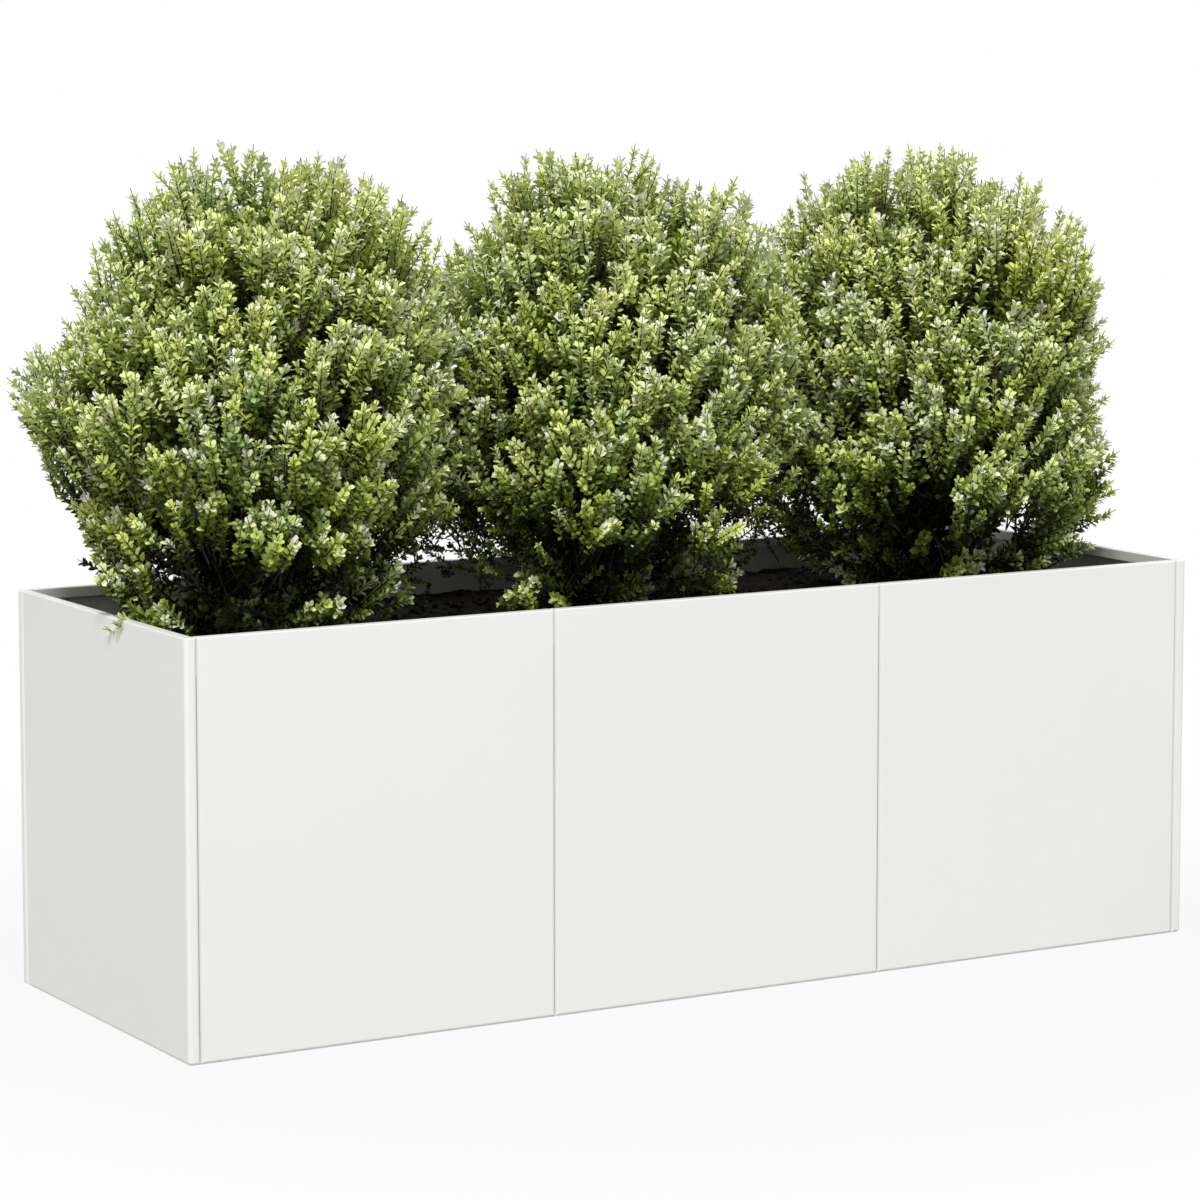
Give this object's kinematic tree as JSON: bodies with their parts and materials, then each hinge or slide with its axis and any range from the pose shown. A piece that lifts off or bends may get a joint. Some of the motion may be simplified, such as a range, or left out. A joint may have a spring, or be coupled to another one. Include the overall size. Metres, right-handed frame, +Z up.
{
  "type": "planted trough planter",
  "caption": "Long white trough planter of folded, bolted steel panels, filled with potting soil and planted with ball-shaped small-leaved shrubs.",
  "frame": {"origin": "middle of the trough's footprint, at floor level", "axes": "+X along the front to the right, +Y from the front to the back, +Z up"},
  "size_m": [1.193, 0.4, 0.857],
  "materials": {
    "wall_steel": "satin",
    "floor_steel": "satin",
    "bar_steel": "satin",
    "fixing_steel": "satin",
    "soil": "matte",
    "root_soil": "matte",
    "bark": "matte",
    "foliage": "matte"
  },
  "bodies": {
    "root": {"front_panel_left": "wall_steel", "front_panel_middle": "wall_steel", "front_panel_right": "wall_steel", "back_panel_left": "wall_steel", "back_panel_middle": "wall_steel", "back_panel_right": "wall_steel", "end_panel_left": "wall_steel", "end_panel_right": "wall_steel", "floor_plate_left": "floor_steel", "floor_plate_middle": "floor_steel", "floor_plate_right": "floor_steel", "tie_bar_left": "bar_steel", "tie_bar_right": "bar_steel", "seam_bolts": "fixing_steel", "seam_nuts": "fixing_steel", "front_corner_bolts": "fixing_steel", "front_corner_nuts": "fixing_steel", "back_corner_bolts": "fixing_steel", "back_corner_nuts": "fixing_steel", "floor_bolts": "fixing_steel", "floor_nuts": "fixing_steel", "root_ball_left": "root_soil", "stems_left": "bark", "crown_left": "foliage", "root_ball_middle": "root_soil", "stems_middle": "bark", "crown_middle": "foliage", "root_ball_right": "root_soil", "stems_right": "bark", "crown_right": "foliage", "potting_soil": "soil"}
  },
  "joints": []
}
